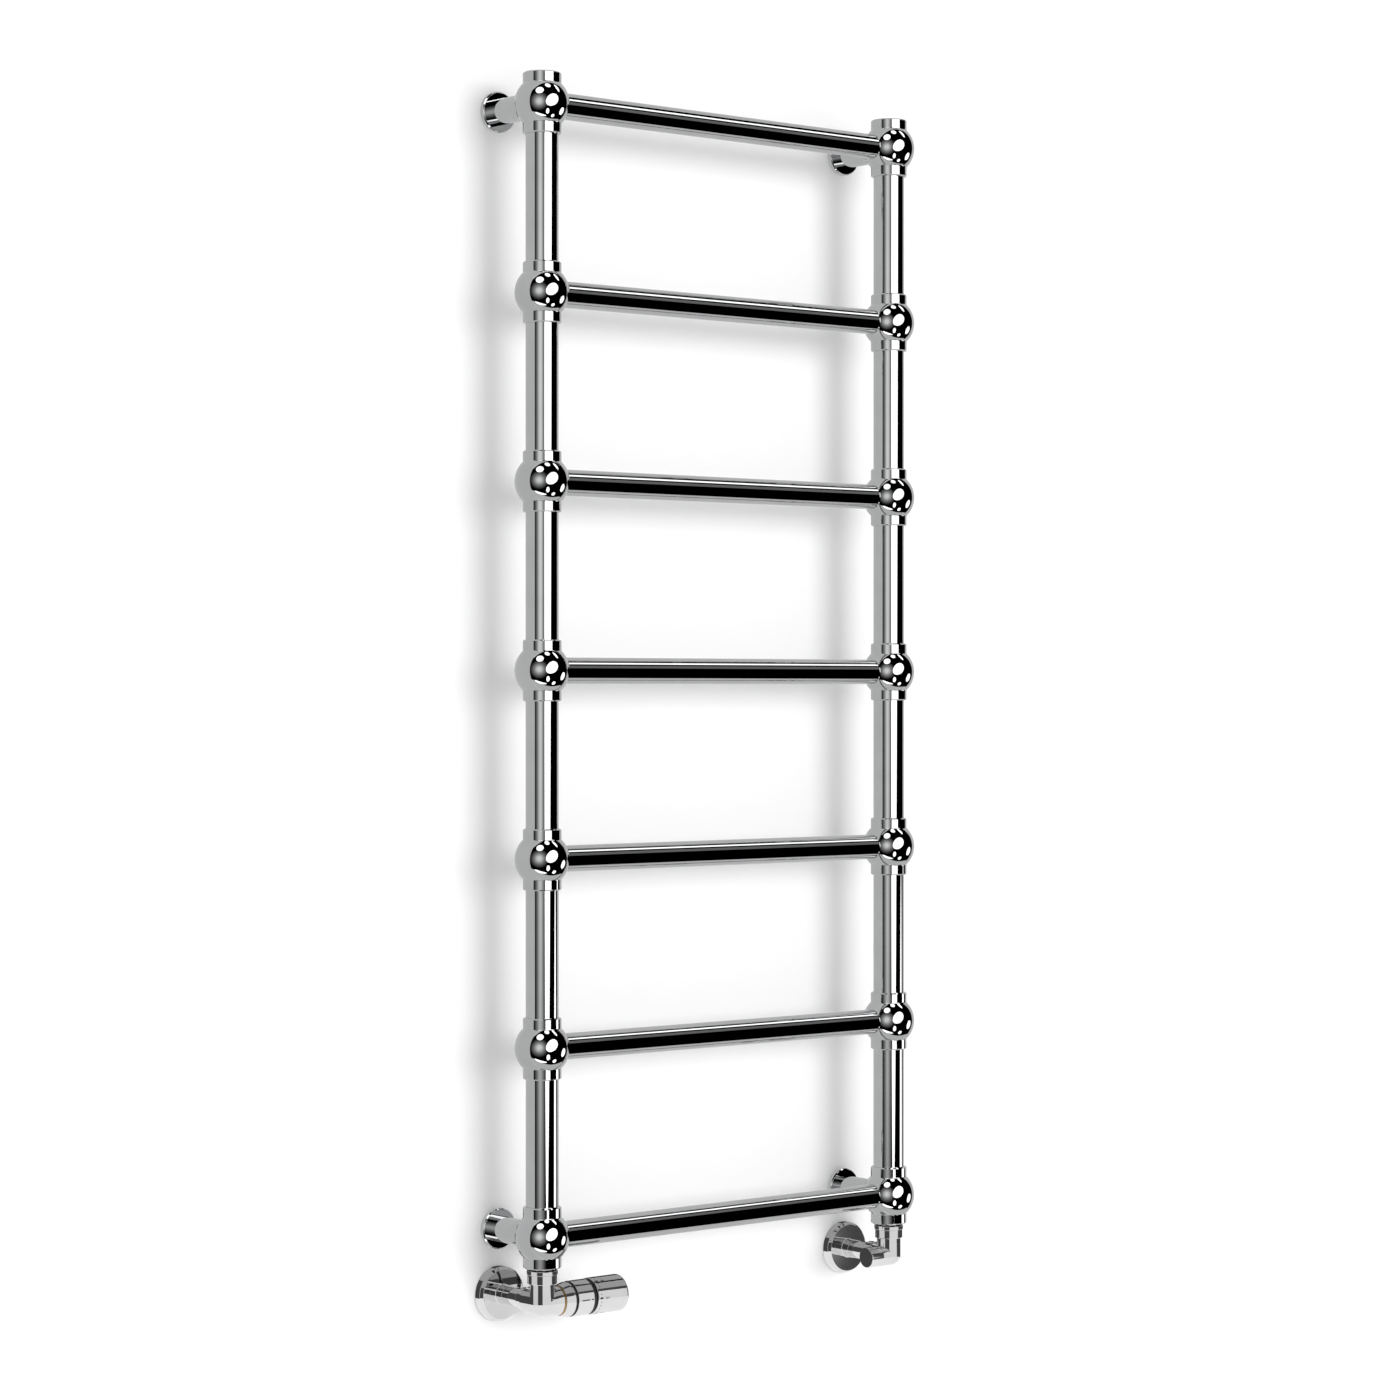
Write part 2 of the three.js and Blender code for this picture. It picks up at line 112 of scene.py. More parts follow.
def noise(nodes, links, scale, detail=3.0, stretch=(1, 1, 1)):
    """The Fac socket of a noise in the object's own space, with its lines stretched along an axis."""
    place = nodes.new("ShaderNodeTexCoord")
    mapping = nodes.new("ShaderNodeMapping")
    mapping.inputs["Scale"].default_value = stretch
    texture = nodes.new("ShaderNodeTexNoise")
    texture.inputs["Scale"].default_value = scale
    texture.inputs["Detail"].default_value = detail
    links.new(place.outputs["Object"], mapping.inputs["Vector"])
    links.new(mapping.outputs["Vector"], texture.inputs["Vector"])
    return texture.outputs["Fac"]


def vary_roughness(nodes, links, target, source, low, high):
    spread = nodes.new("ShaderNodeMapRange")
    spread.inputs["From Min"].default_value = 0.3
    spread.inputs["From Max"].default_value = 0.7
    spread.inputs["To Min"].default_value = low
    spread.inputs["To Max"].default_value = high
    links.new(source, spread.inputs["Value"])
    links.new(spread.outputs["Result"], target.inputs["Roughness"])


def vary_colour(nodes, links, target, source, dark, light):
    ramp = nodes.new("ShaderNodeValToRGB")
    ramp.color_ramp.elements[0].position = 0.3
    ramp.color_ramp.elements[1].position = 0.7
    ramp.color_ramp.elements[0].color = (*dark, 1)
    ramp.color_ramp.elements[1].color = (*light, 1)
    links.new(source, ramp.inputs["Fac"])
    links.new(ramp.outputs["Color"], target.inputs["Base Color"])


def add_bump(nodes, links, target, source, distance, strength=0.5):
    bump = nodes.new("ShaderNodeBump")
    bump.inputs["Strength"].default_value = strength
    bump.inputs["Distance"].default_value = distance
    links.new(source, bump.inputs["Height"])
    links.new(bump.outputs["Normal"], target.inputs["Normal"])


def metal(
    name, dark, light, smooth, hazy, grain=(1, 1, 1), grain_scale=400, depth=0.002 * MM, metallic=1.0
):
    """A plated or bare metal: soft smudges in its gloss, a faint mottle and fine polishing lines."""
    material, nodes, links, principled = shader(name, metallic)
    smudges = noise(nodes, links, 14, 5)
    vary_roughness(nodes, links, principled, smudges, smooth, hazy)
    vary_colour(nodes, links, principled, noise(nodes, links, 35, 2), dark, light)
    add_bump(nodes, links, principled, noise(nodes, links, grain_scale, 2, grain), depth)
    return material


CHROME_DARK = (0.60, 0.605, 0.61)
CHROME_LIGHT = (0.64, 0.645, 0.65)
chrome = {
    "up": metal("chrome_upright", CHROME_DARK, CHROME_LIGHT, 0.012, 0.03, (1, 1, 0.02)),
    "across": metal("chrome_rail", CHROME_DARK, CHROME_LIGHT, 0.012, 0.03, (0.02, 1, 1)),
    "depth": metal("chrome_arm", CHROME_DARK, CHROME_LIGHT, 0.012, 0.03, (1, 0.02, 1)),
    "cast": metal("chrome_joint", CHROME_DARK, CHROME_LIGHT, 0.012, 0.03),
    "valve": metal("chrome_valve", (0.70, 0.70, 0.70), (0.76, 0.76, 0.76), 0.03, 0.07),
}
FINE_GRAIN = {"grain_scale": 900, "depth": 0.01 * MM}
brass = metal("bare_brass", (0.50, 0.30, 0.12), (0.62, 0.40, 0.17), 0.16, 0.30, **FINE_GRAIN)
steel = metal("zinc_steel", (0.36, 0.36, 0.37), (0.46, 0.46, 0.47), 0.22, 0.38, **FINE_GRAIN)


def moulded_black():
    material, nodes, links, principled = shader("black_plastic_grain", 0.0)
    vary_roughness(nodes, links, principled, noise(nodes, links, 30, 4), 0.34, 0.48)
    dark, light = (0.010, 0.010, 0.011), (0.018, 0.018, 0.019)
    vary_colour(nodes, links, principled, noise(nodes, links, 60, 3), dark, light)
    add_bump(nodes, links, principled, noise(nodes, links, 1800, 2), 0.02 * MM)
    return material


def printed_enamel():
    material, nodes, links, principled = shader("printed_marks", 0.0)
    vary_roughness(nodes, links, principled, noise(nodes, links, 300, 3), 0.35, 0.5)
    dark, light = (0.012, 0.012, 0.013), (0.022, 0.022, 0.023)
    vary_colour(nodes, links, principled, noise(nodes, links, 500, 2), dark, light)
    return material


black_plastic = moulded_black()
enamel = printed_enamel()


# ---- Mesh helpers ----


def corner_arc(before, corner, after, radius, steps):
    """Points that round one corner of an outline."""
    back, ahead = (before - corner).normalized(), (after - corner).normalized()
    half = back.angle(ahead) / 2
    shorter = min((before - corner).length, (after - corner).length)
    reach = min(radius / math.tan(half), shorter * 0.49)
    radius = reach * math.tan(half)
    centre = corner + (back + ahead).normalized() * (radius / math.sin(half))
    start, end = corner + back * reach - centre, corner + ahead * reach - centre
    sweep = start.angle(end)
    shares = [k / steps for k in range(steps + 1)]
    weights = [(math.sin(sweep * (1 - share)), math.sin(sweep * share)) for share in shares]
    return [centre + (start * a + end * b) / math.sin(sweep) for a, b in weights]


def rounded(corners, steps=4):
    """Outline points from corners of (radius, height) or (radius, height, rounding), round a loop."""
    points = [Vector(corner[:2]) for corner in corners]
    outline = []
    for index, corner in enumerate(corners):
        if len(corner) == 2:
            outline.append(points[index])
        else:
            before, after = points[index - 1], points[(index + 1) % len(points)]
            outline += corner_arc(before, points[index], after, corner[2], steps)
    return outline


def turned(outline, centre, facing, sides=FINE_SIDES):
    """A bmesh turned from a loop of (radius, height) points, its height running along the facing."""
    made = bmesh.new()
    rings = []
    for radius, height in outline:
        count = sides if radius > 1e-7 else 1
        angles = [math.tau * k / sides for k in range(count)]
        places = [(radius * math.cos(a), radius * math.sin(a), height) for a in angles]
        rings.append([made.verts.new(place) for place in places])
    for lower, upper in zip(rings, rings[1:] + rings[:1]):
        for k in range(sides):
            after = (k + 1) % sides
            corners = [lower[k % len(lower)], lower[after % len(lower)]]
            corners += [upper[after % len(upper)], upper[k % len(upper)]]
            unique = list(dict.fromkeys(corners))
            if len(unique) > 2:
                made.faces.new(unique)
    turn = AXES["up"].rotation_difference(AXES[facing]).to_matrix().to_4x4()
    bmesh.ops.transform(made, matrix=Matrix.Translation(centre) @ turn, verts=made.verts)
    bmesh.ops.recalc_face_normals(made, faces=made.faces)
    return made


def add_piece(name, made, material, body, nodes=()):
    """Makes a named piece from a bmesh, riding on a body and standing for CAD nodes."""
    mesh = bpy.data.meshes.new(name)
    made.to_mesh(mesh)
    made.free()
    mesh.shade_smooth()
    mesh.set_sharp_from_angle(angle=SHARP_ANGLE)
    mesh.materials.append(material)
    piece = bpy.data.objects.new(name, mesh)
    bpy.context.scene.collection.objects.link(piece)
    flat_faces = piece.modifiers.new("flat_faces", "WEIGHTED_NORMAL")
    flat_faces.keep_sharp = True
    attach(piece, body)
    if nodes:
        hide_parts(*nodes)
    return piece


def centre_of(node):
    low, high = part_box(node)
    return (low + high) / 2


def add_turned(node, corners, centre, facing, material, body="frame"):
    """A fine turned piece in place of one CAD node, from an outline in metres."""
    made = turned(rounded(corners), centre, facing)
    return add_piece(f"fine_{node}", made, material, body, [node])


# ---- Uprights, ball joints and rails ----

upright_low, upright_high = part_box("upright_left")
UPRIGHT_RADIUS = (upright_high.x - upright_low.x) / 2
BALL_FILLET = 1.6 * MM
CHAMFER = 1.2 * MM

ball_low, ball_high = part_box("ball_joint_left_2")
BALL_RADIUS = (upright_low.y + upright_high.y) / 2 - ball_low.y
COLLAR_REACH = (ball_high.z - ball_low.z) / 2
COLLAR_RADIUS = 20.5 * MM


def fillet_points(start_angle, centre, radius, steps=5):
    """The hollow fillet between ball and upper collar, from the ball to the collar."""
    points = []
    for k in range(1, steps + 1):
        angle = start_angle * (1 - k / steps)
        points.append(centre - radius * Vector((math.cos(angle), math.sin(angle))))
    return points


def ball_and_collars(bore):
    """A ball with a collar above and below, bored for the upright, listed upwards along its outside."""
    centre = Vector((COLLAR_RADIUS + BALL_FILLET, 0))
    centre.y = math.sqrt((BALL_RADIUS + BALL_FILLET) ** 2 - centre.x**2)
    contact = math.atan2(centre.y, centre.x)
    steps = 20
    half = [contact * k / steps for k in range(steps + 1)]
    upper = [Vector((BALL_RADIUS * math.cos(a), BALL_RADIUS * math.sin(a))) for a in half]
    upper += fillet_points(contact, centre, BALL_FILLET)
    upper.append(Vector((COLLAR_RADIUS, COLLAR_REACH - CHAMFER - EDGE)))
    upper.append(Vector((COLLAR_RADIUS, COLLAR_REACH - CHAMFER)))
    upper.append(Vector((COLLAR_RADIUS - CHAMFER, COLLAR_REACH)))
    upper.append(Vector((bore, COLLAR_REACH)))
    lower = [Vector((point.x, -point.y)) for point in reversed(upper[1:])]
    return lower + upper


for side in SIDES:
    low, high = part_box(f"upright_{side}")
    axis_place = Vector(((low.x + high.x) / 2, (low.y + high.y) / 2, 0))
    inner = UPRIGHT_RADIUS - TUBE_WALL
    corners = [
        (inner, low.z),
        (UPRIGHT_RADIUS, low.z, EDGE),
        (UPRIGHT_RADIUS, high.z, EDGE),
        (inner, high.z),
    ]
    add_turned(f"upright_{side}", corners, axis_place, "up", chrome["up"])
    for row in BALL_ROWS:
        node = f"ball_joint_{side}_{row}"
        low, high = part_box(node)
        place = Vector((axis_place.x, axis_place.y, (low.z + high.z) / 2))
        made = turned(ball_and_collars(UPRIGHT_RADIUS + 0.1 * MM), place, "up")
        add_piece(f"fine_{node}", made, chrome["cast"], "frame", [node])

for row in BALL_ROWS:
    node = f"rail_{row}"
    low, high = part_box(node)
    radius = (high.z - low.z) / 2
    half = (high.x - low.x) / 2
    inner = radius - TUBE_WALL
    corners = [(inner, -half), (radius, -half, EDGE), (radius, half, EDGE), (inner, half)]
    add_turned(node, corners, centre_of(node), "right", chrome["across"])


# ---- Wall brackets ----

BEVEL = 1.2 * MM
SCREW_HOLE = 3.2 * MM

for side in SIDES:
    for level in ("top", "bottom"):
        suffix = f"{level}_{side}"
        arm_low, arm_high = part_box(f"bracket_arm_{suffix}")
        foot = Vector(((arm_low.x + arm_high.x) / 2, 0, (arm_low.z + arm_high.z) / 2))
        radius = (arm_high.x - arm_low.x) / 2
        inner = radius - TUBE_WALL
        near, far = -arm_high.y, -arm_low.y
        corners = [(inner, near), (radius, near), (radius, far), (inner, far)]
        add_turned(f"bracket_arm_{suffix}", corners, foot, "room", chrome["depth"])

        flange_low, flange_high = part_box(f"wall_flange_{suffix}")
        rim, depth = (flange_high.x - flange_low.x) / 2, -flange_low.y
        corners = [
            (radius, 0),
            (rim, 0, EDGE),
            (rim, depth - BEVEL, EDGE),
            (rim - BEVEL, depth, EDGE),
            (radius, depth),
        ]
        add_turned(f"wall_flange_{suffix}", corners, foot, "room", chrome["cast"])

        spigot_low, spigot_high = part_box(f"wall_spigot_{suffix}")
        rim, depth = (spigot_high.x - spigot_low.x) / 2, -spigot_low.y
        corners = [
            (SCREW_HOLE, 0, EDGE),
            (rim, 0, EDGE),
            (rim, depth, EDGE),
            (SCREW_HOLE, depth, EDGE),
        ]
        add_turned(f"wall_spigot_{suffix}", corners, foot, "room", steel)


# ---- Top plugs and the air-bleed screw ----

screw_low, screw_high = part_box("bleed_screw")
SCREW_HEAD = (screw_high.x - screw_low.x) / 2
SCREW_SHANK = 4 * MM
SCREW_HEAD_HEIGHT = 3 * MM


def plug_corners(low, high, bored):
    """A plug with a spigot below its head, plain or bored for the bleed screw."""
    head_low = high.z - PLUG_HEAD
    spigot = UPRIGHT_RADIUS - TUBE_WALL - GAP
    rim = (high.x - low.x) / 2
    corners = [
        (spigot, low.z, EDGE),
        (spigot, head_low),
        (rim, head_low),
        (rim, high.z, PLUG_ROUNDING),
    ]
    if not bored:
        return [(0, low.z), *corners, (0, high.z)]
    seat = high.z - SCREW_HEAD_HEIGHT
    shank, head = SCREW_SHANK + RUNNING_GAP, SCREW_HEAD + RUNNING_GAP
    return [(shank, low.z), *corners, (head, high.z, EDGE), (head, seat), (shank, seat)]


for side in SIDES:
    node = f"top_plug_{side}"
    low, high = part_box(node)
    place = Vector(((low.x + high.x) / 2, (low.y + high.y) / 2, 0))
    corners = plug_corners(low, high, bored=side == "left")
    add_turned(node, corners, place, "up", chrome["cast"])


def bleed_screw():
    """A round-headed screw with a square socket for the bleed key."""
    place = Vector(((screw_low.x + screw_high.x) / 2, (screw_low.y + screw_high.y) / 2, 0))
    top, under = screw_high.z, screw_high.z - SCREW_HEAD_HEIGHT + GAP
    floor = top - SOCKET_DEPTH
    socket = SCREW_SOCKET * math.sqrt(2)
    made = turned(
        rounded([
            (0, screw_low.z),
            (SCREW_SHANK, screw_low.z, EDGE),
            (SCREW_SHANK, under),
            (SCREW_HEAD, under, EDGE),
            (SCREW_HEAD, top, EDGE),
            (socket, top),
            (socket, floor),
            (0, floor),
        ]),
        place,
        "up",
    )
    for vertex in made.verts:
        offset = vertex.co - place
        radial = math.hypot(offset.x, offset.y)
        if abs(radial - socket) < 1e-6 and vertex.co.z > floor - 1e-6:
            angle = math.atan2(offset.y, offset.x)
            inset = math.cos(math.pi / 4) / max(abs(math.cos(angle)), abs(math.sin(angle)))
            vertex.co.x = place.x + offset.x * inset
            vertex.co.y = place.y + offset.y * inset
    return made


add_piece("fine_bleed_screw", bleed_screw(), chrome["cast"], "bleed_screw", ["bleed_screw"])


# ---- Corner valve bodies ----


def branch_start(angle):
    """How far out a branch of radius 1 leaves the two branches beside it, at an angle round its axis."""
    return max(0, math.cos(angle), math.sin(angle))


def scaled(point, sizes):
    return Vector([value * size for value, size in zip(point, sizes)])


def corner_body(centre, neck_radius, side_radius, branches):
    """Three round branches that meet in mitres, with a ball at their outer corner.

    branches are (direction, outline), the upward neck first; an outline is (radius, distance) points.
    """
    made = bmesh.new()
    sizes = (neck_radius, neck_radius, side_radius)
    for index, (along, outline) in enumerate(branches):
        first, second = branches[(index + 1) % 3][0], branches[(index + 2) % 3][0]
        rings = []
        for k in range(FINE_SIDES):
            angle = math.tau * k / FINE_SIDES
            spoke = first * math.cos(angle) + second * math.sin(angle)
            start = scaled(spoke + along * branch_start(angle), sizes)
            line = [start]
            for radius, distance in outline:
                line.append(spoke * radius + along * max(distance, start.dot(along)))
            rings.append([made.verts.new(point) for point in line])
        for k in range(FINE_SIDES):
            line, after = rings[k], rings[(k + 1) % FINE_SIDES]
            for lower in range(len(outline)):
                made.faces.new([line[lower], after[lower], after[lower + 1], line[lower + 1]])
        made.faces.new([line[-1] for line in rings])
    up, head, wall = [direction for direction, _ in branches]
    quarter = FINE_SIDES // 4
    grid = []
    for row in range(quarter + 1):
        drop = math.pi / 2 * row / quarter
        line = []
        for column in range(quarter + 1):
            turn = math.pi / 2 * column / quarter
            spoke = up * math.cos(turn) + head * math.sin(turn)
            line.append(made.verts.new(-scaled(spoke * math.cos(drop) + wall * math.sin(drop), sizes)))
        grid.append(line)
    for row in range(quarter):
        for column in range(quarter):
            here, below = grid[row], grid[row + 1]
            made.faces.new([here[column], here[column + 1], below[column + 1], below[column]])
    bmesh.ops.remove_doubles(made, verts=made.verts, dist=1e-6)
    bmesh.ops.dissolve_degenerate(made, dist=1e-7, edges=made.edges)
    bmesh.ops.translate(made, vec=centre, verts=made.verts)
    bmesh.ops.recalc_face_normals(made, faces=made.faces)
    return made


def valve_centre(prefix):
    """The crossing of a valve's three axes, from its nut above and its rose behind."""
    nut, rose = centre_of(f"{prefix}_union_nut"), centre_of(f"{prefix}_wall_rose")
    return Vector((nut.x, nut.y, rose.z))


VALVES = {"trv": "right", "lockshield": "left"}
PIPE_BORE = 7.9 * MM
TAIL_BORE = 8 * MM
BAND_HEIGHT = 5 * MM
BAND_PROUD = 0.8 * MM
BRANCH_CHAMFER = 0.5 * MM
FLARE = (1.2 * MM, 9 * MM, 15 * MM)  # how far the head's branch widens, and where it starts and ends


def chamfered_end(radius, end):
    return [(radius, end - BRANCH_CHAMFER), (radius - BRANCH_CHAMFER, end)]


def head_branch(prefix, radius, end):
    if prefix == "lockshield":
        return chamfered_end(radius, end)
    widening, start, full = FLARE
    return [(radius, start), (radius + widening, full), *chamfered_end(radius + widening, end)]


def add_valve_base(prefix, head_side):
    centre = valve_centre(prefix)
    finish = chrome["valve"]
    body_low, body_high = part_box(f"{prefix}_body")
    nut_low, nut_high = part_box(f"{prefix}_union_nut")
    side_radius = centre.z - body_low.z
    if head_side == "right":
        neck_radius, head_end = centre.x - body_low.x, body_high.x - centre.x
    else:
        neck_radius, head_end = body_high.x - centre.x, centre.x - body_low.x
    wall_end = body_high.y - centre.y
    neck = [(neck_radius, nut_low.z - centre.z - 0.1 * MM)]
    branches = [
        (AXES["up"], neck),
        (AXES[head_side], head_branch(prefix, side_radius, head_end)),
        (AXES["wall"], chamfered_end(side_radius, wall_end)),
    ]
    made = corner_body(centre, neck_radius, side_radius, branches)
    add_piece(f"fine_{prefix}_body", made, finish, "frame", [f"{prefix}_body"])

    low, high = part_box(f"{prefix}_tailpiece")
    start, end = low.z - centre.z, high.z - centre.z
    shoulder = (high.x - low.x) / 2
    corners = [
        (TAIL_BORE, start),
        (shoulder, start),
        (shoulder, start + TAIL_SHOULDER),
        (TAIL_RADIUS, start + TAIL_SHOULDER),
        (TAIL_RADIUS, end),
        (TAIL_BORE, end),
    ]
    add_turned(f"{prefix}_tailpiece", corners, centre, "up", finish)

    start, end = nut_low.z - centre.z, nut_high.z - centre.z
    band = (nut_high.x - nut_low.x) / 2
    barrel = band - BAND_PROUD
    corners = [
        (NUT_BORE, start),
        (barrel - NUT_EDGE, start),
        (barrel, start + NUT_EDGE, 0.15 * MM),
        (barrel, end - BAND_HEIGHT - BAND_GROOVE, 0.2 * MM),
        (barrel - BAND_GROOVE, end - BAND_HEIGHT - BAND_GROOVE / 2, 0.2 * MM),
        (band, end - BAND_HEIGHT, 0.3 * MM),
        (band, end, 1.8 * MM),
        (TAIL_RADIUS + GAP, end),
        (TAIL_RADIUS + GAP, end - NUT_WEB),
        (NUT_BORE, end - NUT_WEB),
    ]
    add_turned(f"{prefix}_union_nut", corners, centre, "up", finish)

    low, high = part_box(f"{prefix}_inlet_nut")
    start, end = low.y - centre.y, high.y - centre.y
    rim = (high.x - low.x) / 2
    corners = [(PIPE_BORE, start), (rim, start, 0.4 * MM), (rim, end, 0.6 * MM), (PIPE_BORE, end)]
    add_turned(f"{prefix}_inlet_nut", corners, centre, "wall", finish)

    low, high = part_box(f"{prefix}_pipe_sleeve")
    start, end = low.y - centre.y, high.y - centre.y
    rim = (high.x - low.x) / 2
    corners = [(PIPE_BORE, start), (rim, start, EDGE), (rim, end), (PIPE_BORE, end)]
    add_turned(f"{prefix}_pipe_sleeve", corners, centre, "wall", finish)

    low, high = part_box(f"{prefix}_wall_rose")
    foot = Vector((centre.x, high.y, centre.z))
    rim, reach = (high.x - low.x) / 2, high.y - low.y
    corners = [
        (PIPE_BORE, 0),
        (rim, 0, 0.4 * MM),
        (rim, ROSE_SIDE, 0.8 * MM),
        (rim - ROSE_BEVEL, ROSE_FACE, 0.5 * MM),
        (ROSE_HUB, ROSE_FACE, 0.8 * MM),
        (ROSE_HUB, reach, 0.4 * MM),
        (PIPE_BORE, reach),
    ]
    add_turned(f"{prefix}_wall_rose", corners, foot, "room", finish)
    return centre


# ---- Thermostatic head ----

MARK_LIFT = 0.04 * MM
MARK_DEPTH = 0.05 * MM
MARK_ROW = 4 * MM  # from the dial's edge to its bars and dots
NUMERAL_ROW = 11.7 * MM
NUMERAL_HEIGHT = 4.6 * MM
NUMBER_BAR = (4.4 * MM, 2 * MM)
DOT = (1.3 * MM, 1.3 * MM)
POINTER_BAR = (11 * MM, 1.2 * MM)
POINTER_BAR_AT = 9.4 * MM
POINTER_DOT = (2.8 * MM, 1.3 * MM)
POINTER_DOT_AT = 2.7 * MM

PIN_CLEARANCE = 2.6 * MM
INSERT_NECK = 8.7 * MM
INSERT_FLANGE = (19.3 * MM, 20.6 * MM)
HEAD_THREAD = 13 * MM
RING_BORE = 13.3 * MM
RING_CONE = 2.2 * MM
RING_RIM = 2.5 * MM
RING_SEAT = 4.2 * MM
SENSOR_BORE = 12.6 * MM
HOUSING_STEP = 1.3 * MM
SLEEVE_WALL = 1.5 * MM
DIAL_SPIGOT = 15.2 * MM
DIAL_WALL = 4 * MM


def wrap_on_head(marks, centre, along, angle, radius):
    """Lays flat marks round the head: their up runs along it, and the angle is above its front."""
    for vertex in marks.verts:
        across, up, out = vertex.co
        turn = angle - across / radius
        reach = radius + MARK_LIFT + out
        vertex.co = centre + Vector((along + up, -reach * math.cos(turn), reach * math.sin(turn)))


def flat_bar(marks, length, width):
    """A rounded bar with its length along the head."""
    steps = 6
    outline = []
    for end in (1, -1):
        for k in range(steps + 1):
            turn = math.pi * k / steps
            straight = max(length - width, 0) / 2
            across = math.cos(turn) * width / 2 * end
            outline.append((across, (math.sin(turn) * width / 2 + straight) * end))
    unique = list(dict.fromkeys((round(x, 7), round(y, 7)) for x, y in outline))
    lower = [marks.verts.new((x, y, -MARK_DEPTH)) for x, y in unique]
    upper = [marks.verts.new((x, y, 0)) for x, y in unique]
    marks.faces.new(upper)
    marks.faces.new(list(reversed(lower)))
    for k in range(len(unique)):
        after = (k + 1) % len(unique)
        marks.faces.new([lower[k], lower[after], upper[after], upper[k]])


def digit(text, height):
    """One generic numeral as a thin solid, centred on the origin."""
    curve = bpy.data.curves.new(f"numeral_{text}", "FONT")
    curve.body = text
    curve.size = height / 0.7
    curve.extrude = MARK_DEPTH / 2
    curve.resolution_u = 3
    curve.align_x = "CENTER"
    curve.align_y = "CENTER"
    holder = bpy.data.objects.new(f"numeral_{text}", curve)
    bpy.context.scene.collection.objects.link(holder)
    bpy.context.view_layer.update()
    mesh = holder.to_mesh()
    made = bmesh.new()
    made.from_mesh(mesh)
    holder.to_mesh_clear()
    bpy.data.objects.remove(holder)
    bpy.data.curves.remove(curve)
    bmesh.ops.remove_doubles(made, verts=made.verts, dist=1e-7)
    lows = [min(vertex.co[i] for vertex in made.verts) for i in range(2)]
    highs = [max(vertex.co[i] for vertex in made.verts) for i in range(2)]
    shift = Vector((-(lows[0] + highs[0]) / 2, -(lows[1] + highs[1]) / 2, -MARK_DEPTH / 2))
    bmesh.ops.translate(made, vec=shift, verts=made.verts)
    slices = 4
    for k in range(1, slices):
        cut = (highs[0] - lows[0]) * (k / slices - 0.5)
        everything = made.verts[:] + made.edges[:] + made.faces[:]
        bmesh.ops.bisect_plane(made, geom=everything, plane_co=(cut, 0, 0), plane_no=(1, 0, 0))
    return made


def merged(parts):
    """One bmesh from several."""
    whole = bmesh.new()
    for part in parts:
        mesh = bpy.data.meshes.new("part")
        part.to_mesh(mesh)
        part.free()
        whole.from_mesh(mesh)
        bpy.data.meshes.remove(mesh)
    bmesh.ops.recalc_face_normals(whole, faces=whole.faces)
    return whole


DIAL_NUMBERS = 6
NUMBER_PITCH = math.radians(60)
NUMBER_AT_REST = 3
DOTS_BETWEEN = 4


def dial_marks(centre, radius, start):
    """Bars and numerals 0 to 5 near the dial's edge, with dots between them."""
    parts = []

    def lay(mark, along, angle):
        wrap_on_head(mark, centre, along, angle, radius)
        parts.append(mark)

    for number in range(DIAL_NUMBERS):
        angle = (number - NUMBER_AT_REST) * NUMBER_PITCH
        bar = bmesh.new()
        flat_bar(bar, *NUMBER_BAR)
        lay(bar, start + MARK_ROW, angle)
        lay(digit(str(number), NUMERAL_HEIGHT), start + NUMERAL_ROW, angle)
        if number < DIAL_NUMBERS - 1:
            for k in range(1, DOTS_BETWEEN + 1):
                dot = bmesh.new()
                flat_bar(dot, *DOT)
                lay(dot, start + MARK_ROW, angle + NUMBER_PITCH * k / (DOTS_BETWEEN + 1))
    return merged(parts)


def pointer_marks(centre, radius, start, end):
    """The pointer: a long bar and a dot, in line with the dial's number."""
    bar, dot = bmesh.new(), bmesh.new()
    flat_bar(bar, *POINTER_BAR)
    wrap_on_head(bar, centre, start + POINTER_BAR_AT, 0, radius)
    flat_bar(dot, *POINTER_DOT)
    wrap_on_head(dot, centre, end - POINTER_DOT_AT, 0, radius)
    return merged([bar, dot])


